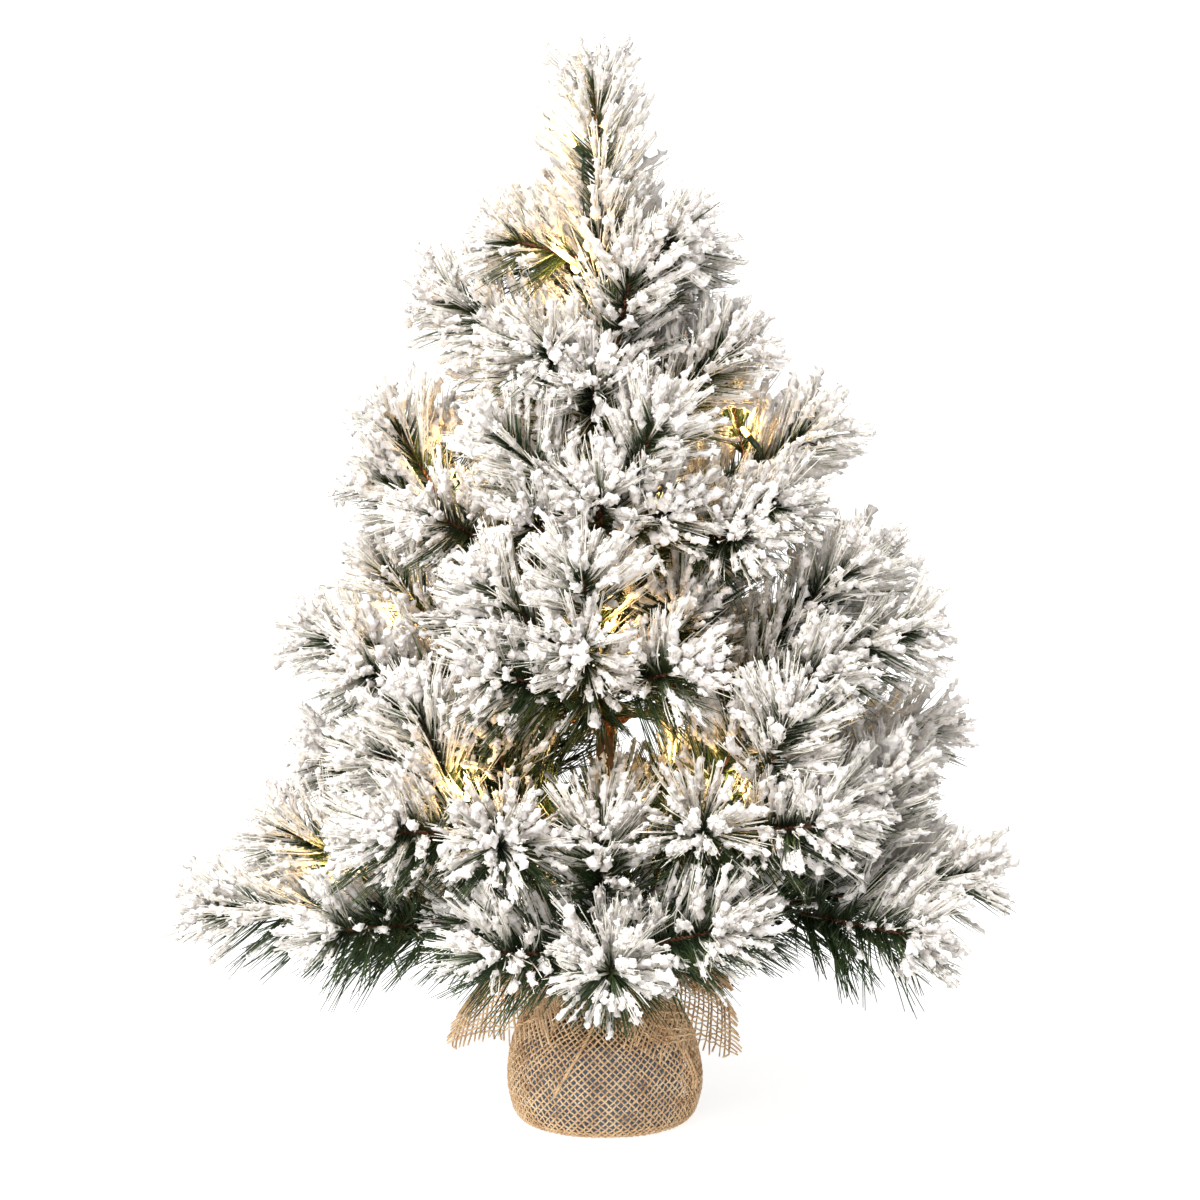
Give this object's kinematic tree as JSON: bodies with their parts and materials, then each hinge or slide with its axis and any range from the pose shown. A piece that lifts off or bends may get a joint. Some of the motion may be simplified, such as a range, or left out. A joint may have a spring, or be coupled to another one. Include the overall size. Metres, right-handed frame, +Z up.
{
  "type": "artificial tabletop tree",
  "caption": "Small artificial pine with white flocked needles, bendable wire branches and battery lamps, standing in a weighted pot wrapped in tied burlap.",
  "frame": {"origin": "centre of the flat underside of the burlap-wrapped base, on the surface it stands on", "axes": "+Z up along the trunk, +X to the right and -Y to the front of the tree, with the battery case at +Y"},
  "size_m": [0.4512, 0.3855, 0.6001],
  "materials": {
    "case_plastic": "dark green moulded plastic, fine spark texture",
    "cell_jacket": "plain printed foil jacket",
    "contact_metal": "nickel-plated spring steel",
    "binding": "brown wire wound round the trunk",
    "burlap": "open plain-woven jute with a frayed edge",
    "grip_pad": "black hook-and-loop pad",
    "cement": "rough cast cement",
    "board": "green solder mask",
    "needles": "thin cut foil needles in pine green, tipped with white flock",
    "twisted_wire": "rust-brown twisted wire",
    "lamp_string": "dark green lamp wire and holders, clear warm-white lenses",
    "twine": "laid jute twine",
    "pot": "blue-grey moulded plastic",
    "knob_plastic": "black moulded plastic",
    "pole": "turned softwood",
    "tape": "brown crepe tape wound in overlapping turns"
  },
  "bodies": {
    "base": {"battery_case": "case_plastic", "battery_cells": "cell_jacket", "battery_contacts": "contact_metal", "branch_bindings": "binding", "burlap_wrap": "burlap", "case_pad": "grip_pad", "cement_weight": "cement", "circuit_board": "board", "leader_needles": "needles", "leader_stem": "twisted_wire", "neck_twine": "twine", "plastic_pot": "pot", "trunk_lights": "lamp_string", "trunk_pole": "pole", "trunk_tape": "tape"},
    "low_front": {"low_front_stem": "twisted_wire", "low_front_needles": "needles"},
    "low_right": {"low_right_stem": "twisted_wire", "low_right_needles": "needles"},
    "low_rear_right": {"low_rear_right_stem": "twisted_wire", "low_rear_right_needles": "needles", "low_rear_right_lights": "lamp_string"},
    "low_rear_left": {"low_rear_left_stem": "twisted_wire", "low_rear_left_needles": "needles"},
    "low_left": {"low_left_stem": "twisted_wire", "low_left_needles": "needles", "low_left_lights": "lamp_string"},
    "mid_front_right": {"mid_front_right_stem": "twisted_wire", "mid_front_right_needles": "needles", "mid_front_right_lights": "lamp_string"},
    "mid_rear_right": {"mid_rear_right_stem": "twisted_wire", "mid_rear_right_needles": "needles", "mid_rear_right_lights": "lamp_string"},
    "mid_rear_left": {"mid_rear_left_stem": "twisted_wire", "mid_rear_left_needles": "needles"},
    "mid_front_left": {"mid_front_left_stem": "twisted_wire", "mid_front_left_needles": "needles", "mid_front_left_lights": "lamp_string"},
    "upper_front": {"upper_front_stem": "twisted_wire", "upper_front_needles": "needles", "upper_front_lights": "lamp_string"},
    "upper_right": {"upper_right_stem": "twisted_wire", "upper_right_needles": "needles"},
    "upper_rear": {"upper_rear_stem": "twisted_wire", "upper_rear_needles": "needles"},
    "upper_left": {"upper_left_stem": "twisted_wire", "upper_left_needles": "needles", "upper_left_lights": "lamp_string"},
    "top_front": {"top_front_stem": "twisted_wire", "top_front_needles": "needles"},
    "top_right": {"top_right_stem": "twisted_wire", "top_right_needles": "needles", "top_right_lights": "lamp_string"},
    "top_rear": {"top_rear_stem": "twisted_wire", "top_rear_needles": "needles"},
    "top_left": {"top_left_stem": "twisted_wire", "top_left_needles": "needles", "top_left_lights": "lamp_string"},
    "battery_cover": {"battery_cover": "case_plastic"},
    "switch_knob": {"switch_knob": "knob_plastic"}
  },
  "joints": [
    {"name": "low_front_bend", "type": "hinge", "parent": "base", "child": "low_front", "pos_m": [0.00019, -0.011, 0.108], "axis": [-0.9998, -0.0175, 0], "range_deg": [-8, 12]},
    {"name": "low_right_bend", "type": "hinge", "parent": "base", "child": "low_right", "pos_m": [0.0108, -0.0021, 0.113], "axis": [-0.1908, -0.9816, 0], "range_deg": [-8, 12]},
    {"name": "low_rear_right_bend", "type": "hinge", "parent": "base", "child": "low_rear_right", "pos_m": [0.00677, 0.00867, 0.109], "axis": [0.788, -0.6157, 0], "range_deg": [-8, 12]},
    {"name": "low_rear_left_bend", "type": "hinge", "parent": "base", "child": "low_rear_left", "pos_m": [-0.00647, 0.0089, 0.111], "axis": [0.809, 0.5878, 0], "range_deg": [-8, 12]},
    {"name": "low_left_bend", "type": "hinge", "parent": "base", "child": "low_left", "pos_m": [-0.01083, -0.00191, 0.109], "axis": [-0.1736, 0.9848, 0], "range_deg": [-8, 12]},
    {"name": "mid_front_right_bend", "type": "hinge", "parent": "base", "child": "mid_front_right", "pos_m": [0.00707, -0.00843, 0.159], "axis": [-0.766, -0.6428, 0], "range_deg": [-8, 14]},
    {"name": "mid_rear_right_bend", "type": "hinge", "parent": "base", "child": "mid_rear_right", "pos_m": [0.01034, 0.00376, 0.166], "axis": [0.342, -0.9397, 0], "range_deg": [-8, 14]},
    {"name": "mid_rear_left_bend", "type": "hinge", "parent": "base", "child": "mid_rear_left", "pos_m": [-0.00962, 0.00533, 0.162], "axis": [0.4848, 0.8746, 0], "range_deg": [-8, 14]},
    {"name": "mid_front_left_bend", "type": "hinge", "parent": "base", "child": "mid_front_left", "pos_m": [-0.00692, -0.00855, 0.159], "axis": [-0.7771, 0.6293, 0], "range_deg": [-8, 14]},
    {"name": "upper_front_bend", "type": "hinge", "parent": "base", "child": "upper_front", "pos_m": [-0.00096, -0.01096, 0.229], "axis": [-0.9962, 0.0872, 0], "range_deg": [-8, 9]},
    {"name": "upper_right_bend", "type": "hinge", "parent": "base", "child": "upper_right", "pos_m": [0.01076, -0.00229, 0.23], "axis": [-0.2079, -0.9781, 0], "range_deg": [-8, 16]},
    {"name": "upper_rear_bend", "type": "hinge", "parent": "base", "child": "upper_rear", "pos_m": [0.00115, 0.01094, 0.227], "axis": [0.9945, -0.1045, 0], "range_deg": [-8, 13]},
    {"name": "upper_left_bend", "type": "hinge", "parent": "base", "child": "upper_left", "pos_m": [-0.01099, 0.00038, 0.226], "axis": [0.0349, 0.9994, 0], "range_deg": [-8, 9]},
    {"name": "top_front_bend", "type": "hinge", "parent": "base", "child": "top_front", "pos_m": [-0.00038, -0.01099, 0.304], "axis": [-0.9994, 0.0349, 0], "range_deg": [-8, 20]},
    {"name": "top_right_bend", "type": "hinge", "parent": "base", "child": "top_right", "pos_m": [0.01098, -0.00058, 0.31], "axis": [-0.0523, -0.9986, 0], "range_deg": [-8, 14]},
    {"name": "top_rear_bend", "type": "hinge", "parent": "base", "child": "top_rear", "pos_m": [-0.00077, 0.01097, 0.306], "axis": [0.9976, 0.0698, 0], "range_deg": [-8, 20]},
    {"name": "top_left_bend", "type": "hinge", "parent": "base", "child": "top_left", "pos_m": [-0.01099, -0.00038, 0.302], "axis": [-0.0349, 0.9994, 0], "range_deg": [-8, 20]},
    {"name": "battery_cover_slide", "type": "slide", "parent": "base", "child": "battery_cover", "axis": [-1, 0, 0], "range_m": [0, 0.062]},
    {"name": "switch_slide", "type": "slide", "parent": "base", "child": "switch_knob", "axis": [0, 0, 1], "range_m": [0, 0.004]}
  ]
}
